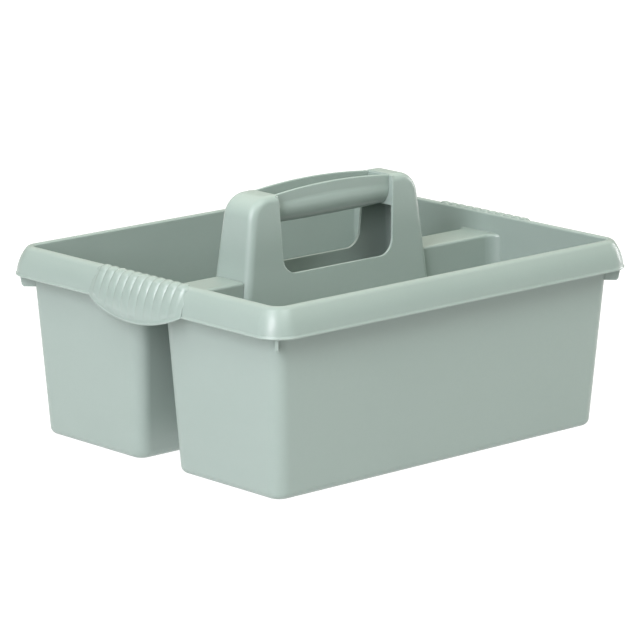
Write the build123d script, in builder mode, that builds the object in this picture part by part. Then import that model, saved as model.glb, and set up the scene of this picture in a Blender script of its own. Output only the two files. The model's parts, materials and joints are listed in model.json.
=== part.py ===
from build123d import *
import os

# ---------------------------------------------------------------------------
# Two-bin cleaning caddy, millimetres.  X runs along the long side, Y across
# the two bins, Z up.  The origin is the centre of the footprint on the floor.
# ---------------------------------------------------------------------------

# overall
RIM_LEN = 400.0          # over the bead of the rim, long side
RIM_WID = 332.0          # over the bead of the rim, short side
RIM_TOP = 157.8          # crest of the rim
BEAD_LOW = 134.0         # underside of the bead
BEAD_R = 24.0            # plan radius of the bead at a corner
WALL = 2.0               # moulded wall

# bins: half sizes of the outer wall at the floor and at the crest
FLOOR_X, FLOOR_Y = 177.3, 143.4
CREST_X, CREST_Y = 186.3, 152.4
BIN_R, BIN_R_TOP = 13.0, 10.0   # plan radius of a bin's outer corner, floor and crest
FLOOR_FILLET = 6.0
FLOOR_T = 2.3

# corner gussets under the rim
GUS_Z = 123.3            # lower edge
GUS_T = 2.6

# channel between the bins, open below and at both ends
CH_LOW = 21.8            # half width at the floor
CH_TOP = 12.9            # half width under the divider web
CH_Z = 138.7             # underside of the divider web
CH_MOUTH_R = 12.0
DIV_LOW = 24.0           # half width of the divider, bin side, at the floor
DIV_TOP = 16.4           # the same at the top of the divider
DIV_Z = 141.4            # top of the divider
DIV_EDGE = 2.4

# handle saddle
SAD_Z0 = 96.2            # lower edge of the skirts
SAD_Z1 = 208.0           # top of the towers
SAD_X = 99.6             # half length of the towers at the divider top
SAD_X_SLOPE = 0.130
SAD_Y = 21.4             # half width of the towers at the divider top
SAD_Y_SLOPE = 0.052
SHOULDER_R = 20.4
TOWER_R = 6.9
WIN_Z = 142.4            # sill of the hand window
WIN_LOW, WIN_TOP = 60.1, 63.8
WIN_R = 14.2
END_X = 62.85            # inner end walls that carry the grip
END_Z = 182.2

# catches between the divider and the saddle skirts
CATCH_X = 75.0
CATCH_W = 14.0
CATCH_Z0, CATCH_Z1 = 102.0, 109.0

# grip
GRIP_R = 14.5            # round underside, at the middle of the grip
GRIP_R_END = 13.6        # the same at its ends
GRIP_Y = 13.1            # half width over the upright walls
GRIP_ZC = 195.4
GRIP_Z_END = 207.4
GRIP_Z_MID = 211.1
TONGUE_Y, TONGUE_Z = 11.9, 202.2
TONGUE_T, TONGUE_H = 2.0, 6.0

# end grips
PAD_RIBS = 11
PAD_PITCH = 9.43
PAD_BOW = 2.3            # how far the middle stands out beyond the ends
PAD_HALF = 56.0          # half width where the outline meets the bead
PAD_LOW = 121.2          # lowest point of the outline
PAD_Z = 134.8            # outline height at its ends
PAD_RISE = 1.3
PAD_BACK = 1.8

os.makedirs("parts", exist_ok=True)


def lerp(a, b, t):
    return a + (b - a) * t


def wall_x(z):
    return lerp(FLOOR_X, CREST_X, z / RIM_TOP)


def wall_y(z):
    return lerp(FLOOR_Y, CREST_Y, z / RIM_TOP)


def bin_r(z):
    return lerp(BIN_R, BIN_R_TOP, z / RIM_TOP)


def div_y(z):
    return lerp(DIV_LOW, DIV_TOP, z / DIV_Z)


def sad_x(z):
    return SAD_X - SAD_X_SLOPE * (z - DIV_Z)


def sad_y(z):
    return SAD_Y - SAD_Y_SLOPE * (z - DIV_Z)


# ---------------------------------------------------------------------------
# inner spaces of the tub, cut out of it below
# ---------------------------------------------------------------------------
VOID_R = 11.0            # inner corners against the divider
VOID_TOP = RIM_TOP + 4
OVER = 0.5               # the bin spaces overrun the inner walls and are trimmed by them


def bin_section(z, side):
    """Rounded section of one bin's inside at height z."""
    y0, y1 = div_y(z), wall_y(z) - WALL + OVER
    with BuildSketch(Plane.XY.offset(z)) as section:
        with Locations((0, side * (y0 + y1) / 2)):
            RectangleRounded(2 * (wall_x(z) - WALL + OVER), y1 - y0, VOID_R)
    return section.sketch


with BuildPart() as inner_walls:
    for z in (-4, VOID_TOP):
        with BuildSketch(Plane.XY.offset(z)):
            RectangleRounded(2 * (wall_x(z) - WALL), 2 * (wall_y(z) - WALL), bin_r(z) - WALL)
    loft()

with BuildPart() as inner_space:
    loft(sections=[bin_section(FLOOR_T, 1), bin_section(DIV_Z + 1, 1)])
    loft(sections=[bin_section(FLOOR_T, -1), bin_section(DIV_Z + 1, -1)])
    fillet(inner_space.faces().group_by(Axis.Z)[0].edges(), radius=FLOOR_FILLET - 1.5)
    # open space above the divider, with a soft edge down into each bin
    with BuildSketch(Plane.XY.offset(DIV_Z)):
        Rectangle(480, 420)
    extrude(amount=VOID_TOP - DIV_Z)
    lip = [
        e for e in inner_space.edges()
        if abs(e.bounding_box().min.Z - DIV_Z) < 0.01 and abs(e.bounding_box().max.Z - DIV_Z) < 0.01
        and abs(e.center().X) < 200 and abs(e.center().Y) < 180
    ]
    fillet(lip, radius=DIV_EDGE)
    add(inner_walls.part, mode=Mode.INTERSECT)

# ---------------------------------------------------------------------------
# tub: both bins, divider, rim and corner gussets, one moulding
# ---------------------------------------------------------------------------
CX, CY = RIM_LEN / 2 - 13.2, RIM_WID / 2 - 13.2      # crest line of the rim
CR = BEAD_R - 13.2

with BuildPart() as tub:
    # drafted block that both bins are cut from
    with BuildSketch(Plane.XY):
        RectangleRounded(2 * FLOOR_X, 2 * FLOOR_Y, BIN_R)
    with BuildSketch(Plane.XY.offset(RIM_TOP - 3)):
        RectangleRounded(2 * wall_x(RIM_TOP - 3), 2 * wall_y(RIM_TOP - 3), bin_r(RIM_TOP - 3))
    loft()

    # channel between the bins
    with BuildSketch(Plane.YZ):
        with BuildLine():
            Polyline((-CH_LOW - 0.6, -10), (CH_LOW + 0.6, -10), (CH_TOP, CH_Z), (-CH_TOP, CH_Z), close=True)
        make_face()
    extrude(amount=250, both=True, mode=Mode.SUBTRACT)
    mouth = [
        e for e in tub.edges()
        if e.bounding_box().size.Z > 120 and abs(e.center().Y) < 40
    ]
    fillet(mouth, radius=CH_MOUTH_R)
    fillet(tub.faces().filter_by(Axis.Z).group_by(Axis.Z)[0].edges(), radius=FLOOR_FILLET)

    # turned-over rim with its bead, swept round the crest line
    with BuildLine() as crest:
        Line((CX, 0), (CX, CY - CR))
        RadiusArc((CX, CY - CR), (CX - CR, CY), -CR)
        Line((CX - CR, CY), (-CX + CR, CY))
        RadiusArc((-CX + CR, CY), (-CX, CY - CR), -CR)
        Line((-CX, CY - CR), (-CX, -CY + CR))
        RadiusArc((-CX, -CY + CR), (-CX + CR, -CY), -CR)
        Line((-CX + CR, -CY), (CX - CR, -CY))
        RadiusArc((CX - CR, -CY), (CX, -CY + CR), -CR)
        Line((CX, -CY + CR), (CX, 0))
    with BuildSketch(Plane.XZ) as rim_section:
        with BuildLine():
            # outer face, bead to crest
            b0 = ThreePointArc((CX + 10.9, BEAD_LOW + 0.6), (CX + 12.1, BEAD_LOW), (CX + 13.2, BEAD_LOW + 1.1))
            b1 = Line(b0 @ 1, (CX + 12.3, BEAD_LOW + 2.6))
            b2 = ThreePointArc(b1 @ 1, (CX + 9.6, RIM_TOP - 10.8), (CX + 5.2, RIM_TOP - 3.0))
            b3 = ThreePointArc(b2 @ 1, (CX + 3.0, RIM_TOP - 0.8), (CX, RIM_TOP))
            # crest down the inner face
            b4 = ThreePointArc(b3 @ 1, (CX - 1.9, RIM_TOP - 0.6), (CX - 2.75, RIM_TOP - 2.2))
            b5 = Line(b4 @ 1, (CX - 3.4, 149.4))
            b6 = Line(b5 @ 1, (CX - 0.2, 149.4))
            b7 = Line(b6 @ 1, (CX - 0.2, RIM_TOP - 4.0))
            b8 = ThreePointArc(b7 @ 1, (CX + 1.0, RIM_TOP - 2.6), (CX + 3.0, RIM_TOP - 3.8))
            b9 = ThreePointArc(b8 @ 1, (CX + 7.5, RIM_TOP - 11.8), (CX + 10.3, BEAD_LOW + 3.0))
            Line(b9 @ 1, b0 @ 0)
        make_face()
    sweep(sections=rim_section.sketch, path=crest.wire(), transition=Transition.RIGHT)

    # corner gussets between the wall and the inside of the rim
    for sx in (1, -1):
        for sy in (1, -1):
            corner = Vector(sx * (wall_x(125) - bin_r(125)), sy * (wall_y(125) - bin_r(125)), 0)
            radial, gr = Vector(sx, sy, 0).normalized(), bin_r(125)
            plane = Plane(origin=corner, x_dir=radial, z_dir=radial.cross(Vector(0, 0, 1)))
            with BuildSketch(plane):
                with BuildLine():
                    Polyline(
                        (gr - 1.2, GUS_Z), (gr + 9.8, GUS_Z), (gr + 11.5, GUS_Z + 1.7),
                        (gr + 12.6, 131.0), (gr + 12.4, 137.0), (gr + 8.8, 146.4),
                        (gr - 1.2, 150.4), close=True,
                    )
                make_face()
            extrude(amount=GUS_T / 2, both=True)

    # inside of the two bins and the open space above the divider
    add(inner_space.part, mode=Mode.SUBTRACT)

    # the divider is cut away under the hand window
    with Locations((0, 0, 124)):
        Box(190, 60, 40, align=(Align.CENTER, Align.CENTER, Align.MIN), mode=Mode.SUBTRACT)

    # catches on the sides of the divider that hold the handle down
    for sx in (1, -1):
        for sy in (1, -1):
            with BuildSketch(Plane.YZ.offset(sx * CATCH_X - CATCH_W / 2)):
                with BuildLine():
                    Polyline(
                        (sy * (div_y(104) - 1.2), CATCH_Z0), (sy * (sad_y(104) - 0.5), CATCH_Z0),
                        (sy * (sad_y(104) - 0.5), CATCH_Z0 + 2.0),
                        (sy * (div_y(104) - 1.2), CATCH_Z1), close=True,
                    )
                make_face()
            extrude(amount=CATCH_W)

tub.part.label = "tub"
export_step(tub.part, "parts/tub.step")
print("tub", tub.part.volume, tub.part.is_valid, len(tub.part.solids()))


# ---------------------------------------------------------------------------
# handle saddle: two hollow towers joined by a front and a rear wall
# ---------------------------------------------------------------------------
def saddle_block(inset, edge_r, z0):
    """Drafted block of the saddle, inset from its outer faces."""
    x0, x1 = sad_x(z0) - inset, sad_x(SAD_Z1) - inset
    top = SAD_Z1 - inset
    with BuildPart() as block:
        with BuildSketch(Plane.XZ) as front:
            with BuildLine():
                Polyline((-x0, z0), (x0, z0), (x1, top), (-x1, top), close=True)
            make_face()
            fillet(front.vertices().group_by(Axis.Y)[-1], radius=SHOULDER_R - inset)
        extrude(amount=40, both=True)
        with BuildSketch(Plane.YZ):
            with BuildLine():
                y0, y1 = sad_y(z0) - inset, sad_y(SAD_Z1) - inset
                Polyline((-y0, z0), (y0, z0), (y1, top), (-y1, top), close=True)
            make_face()
        extrude(amount=150, both=True, mode=Mode.INTERSECT)
        sides = block.faces().sort_by(Axis.Y)
        rims = [e for f in (sides[0], sides[-1]) for e in f.edges() if e.center().Z > z0 + 1]
        fillet(rims, radius=edge_r)
    return block.part


saddle_outer = saddle_block(0, TOWER_R, SAD_Z0)
saddle_inner = saddle_block(WALL, TOWER_R - 0.6, SAD_Z0 - 5)

with BuildPart() as handle_saddle:
    add(saddle_outer)
    add(saddle_inner, mode=Mode.SUBTRACT)

    # U-shaped hand window, open up to the tower tops
    with BuildSketch(Plane.XZ):
        with BuildLine():
            FilletPolyline(
                (-WIN_TOP, SAD_Z1 + 8), (-WIN_LOW, WIN_Z), (WIN_LOW, WIN_Z), (WIN_TOP, SAD_Z1 + 8),
                radius=WIN_R,
            )
            Line((WIN_TOP, SAD_Z1 + 8), (-WIN_TOP, SAD_Z1 + 8))
        make_face()
    extrude(amount=40, both=True, mode=Mode.SUBTRACT)

    # inner end walls that close the tops of the towers
    for sx in (1, -1):
        with BuildSketch(Plane.YZ.offset(sx * (END_X + WALL / 2))):
            with BuildLine():
                ya, yb = sad_y(END_Z) - WALL / 2, sad_y(SAD_Z1) - WALL / 2
                Polyline((-ya, END_Z), (ya, END_Z), (yb, SAD_Z1 - 1), (-yb, SAD_Z1 - 1), close=True)
            make_face()
        extrude(amount=WALL / 2, both=True)

    # slots in the end walls for the tongues of the grip
    with Locations(*[(sx * (END_X + WALL / 2), sy * TONGUE_Y, TONGUE_Z) for sx in (1, -1) for sy in (1, -1)]):
        Box(WALL + 2, TONGUE_T + 0.3, TONGUE_H + 0.3, mode=Mode.SUBTRACT)

    # the lower part of each tower end straddles the divider
    with BuildSketch(Plane.YZ):
        with BuildLine():
            ya, yb = div_y(SAD_Z0 - 10) + 0.25, DIV_TOP + 0.25
            FilletPolyline((-ya, SAD_Z0 - 10), (-yb, DIV_Z), (yb, DIV_Z), (ya, SAD_Z0 - 10), radius=2.3)
            Line((ya, SAD_Z0 - 10), (-ya, SAD_Z0 - 10))
        make_face()
    extrude(amount=150, both=True, mode=Mode.SUBTRACT)

    # openings in the skirts that snap over the catches
    with Locations(*[(sx * CATCH_X, 0, (CATCH_Z0 + CATCH_Z1) / 2 + 0.4) for sx in (1, -1)]):
        Box(CATCH_W + 0.8, 80, CATCH_Z1 - CATCH_Z0 + 1.6, mode=Mode.SUBTRACT)

handle_saddle.part.label = "handle_saddle"
export_step(handle_saddle.part, "parts/handle_saddle.step")
print("handle_saddle", handle_saddle.part.volume, handle_saddle.part.is_valid, len(handle_saddle.part.solids()))


# ---------------------------------------------------------------------------
# handle grip: open-topped bar with a round underside
# ---------------------------------------------------------------------------
def grip_body(inset, half, top):
    """Slightly barrelled round bar with an upright box on top of it."""
    with BuildPart() as body:
        with BuildSketch(Plane.XZ):
            with BuildLine():
                ThreePointArc(
                    (-half, GRIP_ZC + GRIP_R_END - inset), (0, GRIP_ZC + GRIP_R - inset), (half, GRIP_ZC + GRIP_R_END - inset)
                )
                Polyline(
                    (half, GRIP_ZC + GRIP_R_END - inset), (half, GRIP_ZC), (-half, GRIP_ZC),
                    (-half, GRIP_ZC + GRIP_R_END - inset),
                )
            make_face()
        revolve(axis=Axis((0, 0, GRIP_ZC), (1, 0, 0)))
        with BuildSketch(Plane.YZ):
            with BuildLine():
                y = GRIP_Y - inset
                Polyline((-y, GRIP_ZC), (y, GRIP_ZC), (y + 0.3, top), (-y - 0.3, top), close=True)
            make_face()
        extrude(amount=half, both=True)
    return body.part


grip_outer = grip_body(0, END_X, GRIP_Z_MID + 2)
grip_inner = grip_body(WALL, END_X + 1, GRIP_Z_MID + 3)

with BuildPart() as handle_grip:
    add(grip_outer)
    add(grip_inner, mode=Mode.SUBTRACT)
    # soft line where the walls leave the round underside
    creases = [
        e for e in handle_grip.edges()
        if e.length > 120 and GRIP_ZC + 1 < e.center().Z < GRIP_ZC + 9 and abs(e.center().Y) > GRIP_Y - 0.5
    ]
    print("grip creases", len(creases))
    fillet(creases, radius=6.0)
    # arched top edges
    with BuildSketch(Plane.XZ):
        with BuildLine():
            ThreePointArc((-END_X - 1, GRIP_Z_END), (0, GRIP_Z_MID), (END_X + 1, GRIP_Z_END))
            Polyline((END_X + 1, GRIP_Z_END), (END_X + 1, 180), (-END_X - 1, 180), (-END_X - 1, GRIP_Z_END))
        make_face()
    extrude(amount=30, both=True, mode=Mode.INTERSECT)
    crests = [e for e in handle_grip.edges() if e.bounding_box().min.Z > GRIP_Z_END - 1 and e.length > 100]
    fillet(crests, radius=0.9)
    # tongues that plug into the end walls
    with Locations(*[(sx * (END_X + 1.6), sy * TONGUE_Y, TONGUE_Z) for sx in (1, -1) for sy in (1, -1)]):
        Box(3.4, TONGUE_T, TONGUE_H)

handle_grip.part.label = "handle_grip"
export_step(handle_grip.part, "parts/handle_grip.step")
print("handle_grip", handle_grip.part.volume, handle_grip.part.is_valid, len(handle_grip.part.solids()))


# ---------------------------------------------------------------------------
# end grips: ribbed pads that wrap over the rim at both short ends
# ---------------------------------------------------------------------------
def pad_strip(y, width, rise, back):
    """One strip of the pad, running up the face of the rim and over its crest."""
    bow = PAD_BOW * (1 - (y / (PAD_HALF + 2)) ** 2)
    x = RIM_LEN / 2 + bow
    with BuildPart() as strip:
        with BuildLine() as run:
            up = ThreePointArc((x + 0.3, y, PAD_LOW - 6), (x - 0.6, y, 140.8), (x - 7.2, y, 153.8))
            ThreePointArc(up @ 1, (CX + 2.4, y, RIM_TOP - 0.1), (CX - 1.6, y, RIM_TOP - 0.7))
        with BuildSketch(Plane(origin=up @ 0, x_dir=(0, 1, 0), z_dir=up % 0)):
            with BuildLine():
                ThreePointArc((-width / 2, 0), (0, -rise), (width / 2, 0))
                Polyline((width / 2, 0), (width / 2, back), (-width / 2, back), (-width / 2, 0))
            make_face()
        sweep(path=run.wire())
    return strip.part


with BuildPart() as end_grip_right:
    for i in range(PAD_RIBS):
        add(pad_strip((i - (PAD_RIBS - 1) / 2) * PAD_PITCH, PAD_PITCH + 0.02, PAD_RISE, PAD_BACK))
    edge_w = PAD_HALF - PAD_RIBS * PAD_PITCH / 2
    for side in (1, -1):
        add(pad_strip(side * (PAD_HALF - edge_w / 2), edge_w + 0.02, 0.3, PAD_BACK))
    # outline seen from the end: a shallow bow hanging below the bead
    with BuildSketch(Plane.YZ):
        with BuildLine():
            ThreePointArc((-PAD_HALF, PAD_Z), (0, PAD_LOW + 1), (PAD_HALF, PAD_Z))
            Polyline((PAD_HALF, PAD_Z), (PAD_HALF, 175), (-PAD_HALF, 175), (-PAD_HALF, PAD_Z))
        make_face()
    extrude(amount=260, mode=Mode.INTERSECT)
    # turned lip along the outline, in line with the bead of the rim
    with BuildLine() as lip_run:
        lip = ThreePointArc(
            (RIM_LEN / 2 - 1.0, -PAD_HALF - 1.5, PAD_Z + 0.4), (RIM_LEN / 2 + PAD_BOW - 0.4, 0, PAD_LOW + 1.1),
            (RIM_LEN / 2 - 1.0, PAD_HALF + 1.5, PAD_Z + 0.4),
        )
    with BuildSketch(Plane(origin=lip @ 0, z_dir=lip % 0)):
        Circle(1.15)
    sweep(path=lip_run.wire())
    # the pad lies on the outside of the rim
    add(tub.part, mode=Mode.SUBTRACT)

# the pad itself, without the slivers that the crest of the rim leaves behind
pad = max(end_grip_right.solids(), key=lambda v: v.volume)
pad.label = "end_grip_right"
export_step(pad, "parts/end_grip_right.step")
print("end_grip_right", pad.volume, pad.is_valid, pad.bounding_box())

with BuildPart() as end_grip_left:
    mirror(pad, about=Plane.YZ)

end_grip_left.part.label = "end_grip_left"
export_step(end_grip_left.part, "parts/end_grip_left.step")
print("end_grip_left", end_grip_left.part.volume, end_grip_left.part.is_valid)
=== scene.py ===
import json
import math

import bpy
import numpy as np
from mathutils import Matrix, Vector


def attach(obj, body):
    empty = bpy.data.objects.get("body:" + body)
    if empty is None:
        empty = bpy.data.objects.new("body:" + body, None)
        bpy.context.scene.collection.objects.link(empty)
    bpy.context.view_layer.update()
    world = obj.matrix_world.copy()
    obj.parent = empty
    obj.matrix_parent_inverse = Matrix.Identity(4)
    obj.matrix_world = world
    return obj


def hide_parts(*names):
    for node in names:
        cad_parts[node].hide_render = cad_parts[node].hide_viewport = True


# ---------------------------------------------------------------------------
# Cleaning caddy, looks.  Everything is in metres in the frame of the packed
# model: X along the long side, Y across the two bins, Z up.
# ---------------------------------------------------------------------------
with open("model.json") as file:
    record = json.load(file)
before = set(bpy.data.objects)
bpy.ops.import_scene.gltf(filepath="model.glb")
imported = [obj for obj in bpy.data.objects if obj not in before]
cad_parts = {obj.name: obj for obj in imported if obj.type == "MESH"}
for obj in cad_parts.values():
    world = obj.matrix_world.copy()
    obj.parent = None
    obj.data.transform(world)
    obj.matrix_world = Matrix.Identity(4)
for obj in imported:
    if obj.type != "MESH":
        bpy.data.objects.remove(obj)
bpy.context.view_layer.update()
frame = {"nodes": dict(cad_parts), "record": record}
nodes = frame["nodes"]
scene = bpy.context.scene
col = scene.collection

MM = 0.001
SAGE = (0.268, 0.332, 0.303)          # linear colour of the moulding


# ---------------------------------------------------------------------------
# material: satin moulded polypropylene
# ---------------------------------------------------------------------------
class Tree:
    """Small helper that adds nodes and links by name."""

    def __init__(self, tree):
        self.t = tree

    def add(self, kind, **props):
        n = self.t.nodes.new(kind)
        for k, v in props.items():
            if k == "ins":
                for key, val in v.items():
                    if isinstance(val, bpy.types.NodeSocket):
                        self.t.links.new(val, n.inputs[key])
                    else:
                        n.inputs[key].default_value = val
            else:
                setattr(n, k, v)
        return n

    def link(self, a, b):
        self.t.links.new(a, b)

    def noise(self, vec, scale, detail=2.0, rough=0.5, seed=0.0):
        off = self.add("ShaderNodeVectorMath", operation="ADD", ins={0: vec, 1: (seed, seed * 1.7, -seed * 0.6)})
        n = self.add("ShaderNodeTexNoise", ins={"Vector": off.outputs[0], "Scale": scale, "Detail": detail, "Roughness": rough})
        return n.outputs["Fac"]

    def math(self, op, a, b=None, clamp=False):
        ins = {0: a}
        if b is not None:
            ins[1] = b
        n = self.add("ShaderNodeMath", operation=op, ins=ins)
        n.use_clamp = clamp
        return n.outputs[0]

    def ramp(self, fac, lo, hi, to_lo, to_hi, smooth=True):
        n = self.add(
            "ShaderNodeMapRange", ins={"Value": fac, "From Min": lo, "From Max": hi, "To Min": to_lo, "To Max": to_hi}
        )
        n.interpolation_type = "SMOOTHSTEP" if smooth else "LINEAR"
        n.clamp = True
        return n.outputs[0]

    def mix(self, fac, a, b, blend="MIX"):
        n = self.add("ShaderNodeMix", data_type="RGBA", blend_type=blend)
        n.clamp_factor = True
        for sock, val in ((n.inputs[0], fac), (n.inputs[6], a), (n.inputs[7], b)):
            if isinstance(val, bpy.types.NodeSocket):
                self.t.links.new(val, sock)
            elif isinstance(val, (int, float)):
                sock.default_value = val
            else:
                sock.default_value = (*val[:3], 1.0)
        return n.outputs[2]


def scaled(rgb, k):
    return tuple(c * k for c in rgb)


def moulded_plastic(name, rgb, seed, edge=0.6 * MM, rough=0.33, flow=(1.0, 1.0, 1.0), grain=1.0):
    """Satin injection-moulded polypropylene: pigment speckle, faint flow bands, fine spark-eroded grain,
    shallow waviness where the wall shrank, soft edges painted a little paler (a painted highlight, partly rubbed
    wear), and painted shade in the corners that also roughens them like dust."""
    mat = bpy.data.materials.new(name)
    mat.use_nodes = True
    t = Tree(mat.node_tree)
    t.t.nodes.clear()
    out = t.add("ShaderNodeOutputMaterial")
    bsdf = t.add("ShaderNodeBsdfPrincipled")
    t.link(bsdf.outputs[0], out.inputs[0])

    pos = t.add("ShaderNodeTexCoord").outputs["Object"]
    geo = t.add("ShaderNodeNewGeometry")

    # --- soft edges -------------------------------------------------------
    soft = t.add("ShaderNodeBevel", samples=6, ins={"Radius": edge})
    wide = t.add("ShaderNodeBevel", samples=4, ins={"Radius": 2.2 * MM})
    turn = t.add("ShaderNodeVectorMath", operation="DOT_PRODUCT", ins={0: wide.outputs[0], 1: geo.outputs["Normal"]})
    edge_mask = t.ramp(turn.outputs["Value"], 0.995, 0.86, 0.0, 1.0)

    # --- colour -----------------------------------------------------------
    big = t.noise(pos, 7.0, 2.0, 0.5, seed)
    stretch = t.add("ShaderNodeVectorMath", operation="MULTIPLY", ins={0: pos, 1: flow})
    band = t.noise(stretch.outputs[0], 26.0, 3.0, 0.55, seed + 3.1)
    mottle = t.noise(pos, 150.0, 3.0, 0.6, seed + 7.7)
    speck = t.noise(pos, 620.0, 0.0, 0.5, seed + 11.3)
    c = t.mix(t.ramp(big, 0.25, 0.75, 0.0, 1.0), scaled(rgb, 0.985), (rgb[0] * 1.016, rgb[1] * 1.012, rgb[2] * 1.010))
    c = t.mix(t.ramp(band, 0.30, 0.75, 0.0, 0.5), c, (rgb[0] * 1.030, rgb[1] * 1.020, rgb[2] * 1.026))
    c = t.mix(t.ramp(mottle, 0.35, 0.80, 0.0, 0.25), c, scaled(rgb, 0.972))
    c = t.mix(t.ramp(speck, 0.30, 0.75, 0.0, 0.5), c, scaled(rgb, 0.988))
    # paler edges: a painted highlight along the edges, partly rubbed wear; the same mask also makes the edges glossier
    # further down
    edge_highlight_and_rub = t.math("MULTIPLY", edge_mask, t.ramp(mottle, 0.25, 0.70, 0.75, 1.0))
    c = t.mix(t.math("MULTIPLY", edge_highlight_and_rub, 0.30), c, (min(rgb[0] * 1.34, 1), min(rgb[1] * 1.24, 1), min(rgb[2] * 1.26, 1)))
    # painted shade in the corners: darker where ambient occlusion finds the surface hemmed in, patchy like dust; the
    # same mask also roughens the corners
    ao = t.add("ShaderNodeAmbientOcclusion", samples=4, ins={"Distance": 9 * MM})
    corner_shade_and_dust = t.math("MULTIPLY", t.ramp(ao.outputs["AO"], 0.30, 0.80, 1.0, 0.0), t.ramp(mottle, 0.35, 0.65, 0.4, 1.0))
    c = t.mix(t.math("MULTIPLY", corner_shade_and_dust, 0.10), c, (0.20, 0.225, 0.20))
    t.link(c, bsdf.inputs["Base Color"])

    # --- gloss ------------------------------------------------------------
    r = t.math("ADD", t.ramp(band, 0.25, 0.75, rough - 0.02, rough + 0.02), t.ramp(mottle, 0.3, 0.75, -0.010, 0.015))
    r = t.math("ADD", r, t.math("MULTIPLY", corner_shade_and_dust, 0.12))
    # hairline scuffs from cloths and bottles
    sx = t.add("ShaderNodeVectorMath", operation="MULTIPLY", ins={0: pos, 1: (1.0, 1.0, 14.0)})
    sc = t.add("ShaderNodeTexVoronoi", feature="DISTANCE_TO_EDGE", ins={"Vector": sx.outputs[0], "Scale": 38.0, "Randomness": 1.0})
    hair = t.math("MULTIPLY", t.ramp(sc.outputs["Distance"], 0.0, 0.012, 1.0, 0.0), t.ramp(big, 0.45, 0.65, 0.0, 1.0))
    r = t.math("ADD", r, t.math("MULTIPLY", hair, 0.03))
    r = t.math("SUBTRACT", r, t.math("MULTIPLY", edge_highlight_and_rub, 0.05), clamp=True)
    t.link(r, bsdf.inputs["Roughness"])

    # --- relief -----------------------------------------------------------
    wave = t.add("ShaderNodeBump", ins={"Height": t.noise(pos, 11.0, 1.5, 0.4, seed + 5.0), "Strength": 0.35, "Distance": 0.7 * MM,
                                        "Normal": soft.outputs[0]})
    peel = t.add("ShaderNodeBump", ins={"Height": t.noise(pos, 330.0, 1.0, 0.5, seed + 9.0), "Strength": 0.08 * grain,
                                        "Distance": 0.10 * MM, "Normal": wave.outputs[0]})
    fine = t.add("ShaderNodeBump", ins={"Height": t.noise(pos, 1700.0, 2.0, 0.6, seed + 2.0), "Strength": 0.06 * grain,
                                        "Distance": 0.05 * MM, "Normal": peel.outputs[0]})
    t.link(fine.outputs[0], bsdf.inputs["Normal"])

    bsdf.inputs["IOR"].default_value = 1.49
    bsdf.inputs["Specular IOR Level"].default_value = 0.50
    bsdf.inputs["Subsurface Weight"].default_value = 0.40
    bsdf.inputs["Subsurface Radius"].default_value = (1.0, 1.12, 1.05)
    bsdf.inputs["Subsurface Scale"].default_value = 2.5 * MM
    mat.diffuse_color = (*rgb, 1.0)
    return mat


# the handle's copy is painted about 12% lighter than the tub's and end grips', though it is the same plastic: painted
# light standing in for how the lamps fall on the handle
mats = {
    "tub_plastic": moulded_plastic("tub_plastic", scaled(SAGE, 0.97), 0.0, flow=(0.35, 0.35, 1.6)),
    "handle_plastic": moulded_plastic("handle_plastic", scaled(SAGE, 1.09), 23.0, flow=(0.4, 1.0, 1.3)),
    "end_grip_plastic": moulded_plastic("end_grip_plastic", scaled(SAGE, 0.97), 51.0, edge=0.35 * MM, rough=0.25,
                                        flow=(1.0, 0.4, 1.0), grain=0.7),
}
slots = {s["node"]: s["material_slot"] for s in frame["record"].get("subparts", []) if "node" in s}
for name, obj in nodes.items():
    slot = slots.get(name) or ("end_grip_plastic" if "end_grip" in name else "handle_plastic" if "handle" in name else "tub_plastic")
    for ms in obj.material_slots:
        ms.material = mats[slot]
    if not obj.material_slots:
        obj.data.materials.append(mats[slot])


# ---------------------------------------------------------------------------
# end grips: ribbed pads over the rim, replacing the plain CAD strips
# ---------------------------------------------------------------------------
RIBS, PITCH, HALF = 11, 9.43, 56.0
BOW, RISE, BACK = 2.1, 1.35, 1.7
CREST_X, CREST_Z, RIM_X = 186.8, 157.8, 200.0
LOW_MID, LOW_END = 122.2, 134.9


def arc3(p, q, s, n):
    """n points on the circle through three points, by equal steps along it."""
    (ax, ay), (bx, by), (cx, cy) = p, q, s
    d = 2 * (ax * (by - cy) + bx * (cy - ay) + cx * (ay - by))
    ux = ((ax * ax + ay * ay) * (by - cy) + (bx * bx + by * by) * (cy - ay) + (cx * cx + cy * cy) * (ay - by)) / d
    uy = ((ax * ax + ay * ay) * (cx - bx) + (bx * bx + by * by) * (ax - cx) + (cx * cx + cy * cy) * (bx - ax)) / d
    r = math.hypot(ax - ux, ay - uy)
    a0, a1, a2 = (math.atan2(v[1] - uy, v[0] - ux) for v in (p, q, s))
    while a1 - a0 > math.pi:
        a1 -= 2 * math.pi
    while a0 - a1 > math.pi:
        a1 += 2 * math.pi
    while a2 - a1 > math.pi:
        a2 -= 2 * math.pi
    while a1 - a2 > math.pi:
        a2 += 2 * math.pi
    t = np.linspace(a0, a2, n)
    return np.stack([ux + r * np.cos(t), uy + r * np.sin(t)], axis=1)


def smooth(a, b, v):
    u = np.clip((v - a) / (b - a), 0.0, 1.0)
    return u * u * (3 - 2 * u)


def pad_low(y):
    """Height of the outline: a circle through both ends and the lowest point."""
    sag = LOW_END - LOW_MID
    r = (HALF * HALF + sag * sag) / (2 * sag)
    return LOW_MID + r - math.sqrt(max(r * r - y * y, 0.0))


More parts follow.
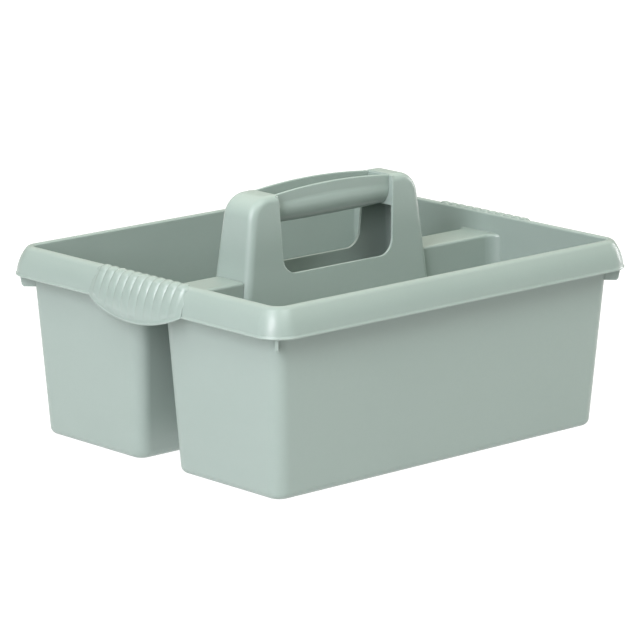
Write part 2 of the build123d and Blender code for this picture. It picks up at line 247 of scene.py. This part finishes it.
def pad_profile(y, n):
    """Points and outward normals of the pad's face at station y, from the outline up and over the crest."""
    x = RIM_X + BOW * (1 - (y / (HALF + 2)) ** 2)
    up = arc3((x + 0.3, 115.2), (x - 0.6, 140.8), (x - 7.2, 153.8), 160)
    over = arc3((x - 7.2, 153.8), (CREST_X + 2.4, CREST_Z - 0.1), (CREST_X - 1.2, CREST_Z - 0.45), 80)
    down = arc3((CREST_X - 1.2, CREST_Z - 0.45), (CREST_X - 1.62, CREST_Z - 1.1), (CREST_X - 1.7, CREST_Z - 1.9), 20)
    pts = np.vstack([up, over[1:], down[1:]])
    z0 = pad_low(y)
    keep = pts[:, 1] >= z0
    keep |= np.arange(len(pts)) > 120
    i0 = int(np.argmax(keep))
    a, b = pts[i0 - 1], pts[i0]
    k = (z0 - a[1]) / (b[1] - a[1])
    pts = np.vstack([[a + (b - a) * k], pts[i0:]])
    # a little smoothing takes the corner out where the arcs meet
    seg = np.hypot(*np.diff(pts, axis=0).T)
    s = np.concatenate([[0], np.cumsum(seg)])
    u = np.linspace(0, s[-1], 400)
    q = np.stack([np.interp(u, s, pts[:, 0]), np.interp(u, s, pts[:, 1])], axis=1)
    ker = np.hanning(27)
    ker /= ker.sum()
    pad = np.vstack([np.repeat(q[:1], 13, 0), q, np.repeat(q[-1:], 13, 0)])
    sm = np.stack([np.convolve(pad[:, j], ker, "valid") for j in (0, 1)], axis=1)
    w = smooth(0, 20, np.arange(400))[:, None] * smooth(0, 20, np.arange(399, -1, -1))[:, None]
    q = q * (1 - w) + sm * w
    tan = np.gradient(q, axis=0)
    nor = np.stack([tan[:, 1], -tan[:, 0]], axis=1)
    nor /= np.hypot(nor[:, 0], nor[:, 1])[:, None]
    # finer steps near the outline, where the lip is
    g = np.linspace(0, 1, n)
    v = (0.35 * g + 0.65 * g**1.6) * s[-1]
    px = np.stack([np.interp(v, u, q[:, 0]), np.interp(v, u, q[:, 1])], axis=1)
    nx = np.stack([np.interp(v, u, nor[:, 0]), np.interp(v, u, nor[:, 1])], axis=1)
    nx /= np.hypot(nx[:, 0], nx[:, 1])[:, None]
    return px, nx, v, s[-1]


def rib_height(y):
    """Height of the ribs over the pad at station y, 0 in the grooves and 1 on the ribs."""
    edge = RIBS * PITCH / 2
    if abs(y) >= edge:
        return 0.0
    u = (y + edge) / PITCH
    u = 2 * (u - math.floor(u)) - 1                 # -1..1 over one rib
    h = 1 - abs(u) ** 2.8
    soft = 0.10                                      # rounds off the groove
    return math.sqrt(h * h + soft * soft) - soft * (1 - h) - soft * h * 0.5


def end_grip(name, sign):
    ny, ns = 361, 84
    lip_r = 1.05
    ys = np.linspace(-HALF, HALF, ny)
    front, back = [], []
    for y in ys:
        p, nrm, v, total = pad_profile(y, ns)
        near = smooth(1.6, 6.5, v) * (0.42 + 0.58 * smooth(8.0, 30.0, v))      # ribs fade down to the lip
        inner = smooth(0.7, 3.0, total - v)          # and run out flush at the inner edge of the crest
        end = float(smooth(0.0, 7.0, HALF - abs(y)))
        rise = RISE * rib_height(y) * near * inner
        lip = 0.70 * np.exp(-(((v - 0.9) / 1.25) ** 2)) * float(smooth(0.0, 14.0, HALF - abs(y)))
        f = p + nrm * (rise * end + lip - 0.60 * (1 - end))[:, None]
        thick = BACK * (0.55 + 0.45 * smooth(0.0, 2.4, v)) * (1 - 0.5 * smooth(-3.0, 0.0, v - total))
        b = p - nrm * (thick * (0.35 + 0.65 * end) + 0.60 * (1 - end))[:, None]
        front.append(np.column_stack([f[:, 0], np.full(ns, y), f[:, 1]]))
        back.append(np.column_stack([b[:, 0], np.full(ns, y), b[:, 1]]))
    front, back = np.array(front), np.array(back)

    # round nose under the outline
    nose = []
    steps = 7
    for k in range(1, steps):
        a = math.pi * k / steps
        mid = (front[:, 0] + back[:, 0]) / 2
        half = (front[:, 0] - back[:, 0]) / 2
        drop = np.zeros_like(mid)
        drop[:, 2] = -np.linalg.norm(half, axis=1) * 0.95
        nose.append(mid + half * math.cos(a) + drop * math.sin(a))
    # ring: back surface from crest down, nose, front surface up
    ring = [back[:, j] for j in range(ns - 1, -1, -1)] + nose[::-1] + [front[:, j] for j in range(ns)]
    ring = np.array(ring)                            # (m, ny, 3)
    m = ring.shape[0]
    verts = ring.transpose(1, 0, 2).reshape(-1, 3).copy()
    faces = []
    for i in range(ny - 1):
        a, b = i * m, (i + 1) * m
        for j in range(m):
            k = (j + 1) % m
            faces.append((a + j, b + j, b + k, a + k))
    faces.append(tuple(range(m)))
    faces.append(tuple((ny - 1) * m + j for j in range(m - 1, -1, -1)))
    verts[:, 0] *= sign
    if sign > 0:
        faces = [tuple(reversed(f)) for f in faces]
    me = bpy.data.meshes.new(name)
    me.from_pydata([tuple(v * MM) for v in verts], [], faces)
    me.update()
    import bmesh

    bm = bmesh.new()
    bm.from_mesh(me)
    ends = [f for f in bm.faces if len(f.verts) > 4]
    bmesh.ops.triangulate(bm, faces=ends)
    bmesh.ops.recalc_face_normals(bm, faces=bm.faces)
    bm.to_mesh(me)
    bm.free()
    for p in me.polygons:
        p.use_smooth = True
    me.materials.append(mats["end_grip_plastic"])
    o = bpy.data.objects.new(name, me)
    col.objects.link(o)
    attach(o, "root")
    return o


right = end_grip("ribbed_grip_right", 1)
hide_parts("end_grip_right")
left = end_grip("ribbed_grip_left", -1)
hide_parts("end_grip_left")


# ---------------------------------------------------------------------------
# floor, light, camera
# ---------------------------------------------------------------------------
def floor():
    me = bpy.data.meshes.new("floor")
    s = 6.0
    me.from_pydata([(-s, -s, 0), (s, -s, 0), (s, s, 0), (-s, s, 0)], [], [(0, 1, 2, 3)])
    mat = bpy.data.materials.new("floor_paint")
    mat.use_nodes = True
    t = Tree(mat.node_tree)
    b = mat.node_tree.nodes["Principled BSDF"]
    pos = t.add("ShaderNodeTexCoord").outputs["Object"]
    n = t.noise(pos, 3.0, 3.0, 0.5, 4.0)
    c = t.mix(n, (0.14, 0.14, 0.14), (0.16, 0.16, 0.16))
    t.link(c, b.inputs["Base Color"])
    b.inputs["Emission Color"].default_value = (1.0, 1.0, 1.0, 1.0)      # lit from below, as a light table is
    t.link(t.ramp(n, 0.3, 0.7, 0.96, 0.98), b.inputs["Emission Strength"])
    t.link(t.ramp(n, 0.3, 0.7, 0.55, 0.65), b.inputs["Roughness"])
    b.inputs["Specular IOR Level"].default_value = 0.2
    me.materials.append(mat)
    o = bpy.data.objects.new("floor", me)
    col.objects.link(o)
    o.location.z = -0.0002


floor()


def area(name, loc, target, size, power, colour, shape="RECTANGLE"):
    light = bpy.data.lights.new(name, "AREA")
    light.shape = shape
    light.size, light.size_y = size
    light.energy = power
    light.color = colour
    o = bpy.data.objects.new(name, light)
    o.location = loc
    o.rotation_euler = (Vector(target) - Vector(loc)).to_track_quat("-Z", "Y").to_euler()
    col.objects.link(o)
    return o


def radiance(value, size):
    """Power in watts of an area light of that size and brightness."""
    return value * math.pi * size[0] * size[1]


KEY = (0.95, 1.35)
FRONT = (1.2, 1.0)
HIGH = (1.2, 1.2)
STRIP = (0.6, 1.1)
AIM = (0.0, 0.0, 0.12)
area("key_soft_box", (-2.148, -0.825, 1.097), AIM, KEY, radiance(12.9, KEY), (0.965, 0.93, 1.0))
area("front_top_soft_box", (0.2, -1.4, 2.0), AIM, FRONT, radiance(4.2, FRONT), (0.88, 0.98, 0.98))
area("left_top_soft_box", (-1.6, -0.25, 2.0), AIM, HIGH, radiance(4.1, HIGH), (0.86, 0.93, 1.0))
area("right_strip", (2.45, -0.35, 0.58), AIM, STRIP, radiance(9.5, STRIP), (1.0, 0.97, 1.0))

world = bpy.data.worlds.new("studio")
scene.world = world
world.use_nodes = True
wt = Tree(world.node_tree)
bg = world.node_tree.nodes["Background"]
# a studio with a bright ceiling, and a paler wall on the far side of the object
way = wt.add("ShaderNodeTexCoord").outputs["Generated"]
up = wt.add("ShaderNodeSeparateXYZ", ins={0: way})


def toward(direction, lo, hi, strength):
    d = wt.add("ShaderNodeVectorMath", operation="DOT_PRODUCT", ins={0: way, 1: direction})
    return wt.ramp(d.outputs["Value"], lo, hi, 0.0, strength)


level = wt.math("ADD", wt.ramp(up.outputs["Z"], 0.30, 0.80, 0.03, 1.22), toward((0.66, 0.74, 0.10), 0.15, 0.95, 0.46))
level = wt.math("ADD", level, toward((-0.60, -0.74, 0.30), 0.20, 0.95, 0.24))
wt.link(level, bg.inputs["Strength"])
bg.inputs["Color"].default_value = (1.03, 1.0, 0.89, 1.0)

# camera at the measured station
AZ, EL, ROLL = (math.radians(v) for v in (-42.59730797547453, 13.16861304033894, 0.09855092577570089))
back_dir = Vector((math.sin(AZ) * math.cos(EL), -math.cos(AZ) * math.cos(EL), math.sin(EL)))
right_dir = Vector((math.cos(AZ), math.sin(AZ), 0.0))
up_dir = back_dir.cross(right_dir)
rx = math.cos(ROLL) * right_dir + math.sin(ROLL) * up_dir
ry = -math.sin(ROLL) * right_dir + math.cos(ROLL) * up_dir
cam_data = bpy.data.cameras.new("camera")
cam = bpy.data.objects.new("camera", cam_data)
col.objects.link(cam)
m = Matrix((rx, ry, back_dir)).transposed().to_4x4()
m.translation = Vector((-2.14524, -2.32551, 0.83649))
cam.matrix_world = m
cam_data.sensor_width = 36.0
cam_data.lens = 3951.5078525740123 * 36.0 / 630.0
cam_data.clip_start, cam_data.clip_end = 0.05, 50.0
scene.camera = cam

scene.view_settings.view_transform = "Standard"
scene.view_settings.look = "None"
scene.view_settings.exposure = 0.0
scene.view_settings.gamma = 1.0
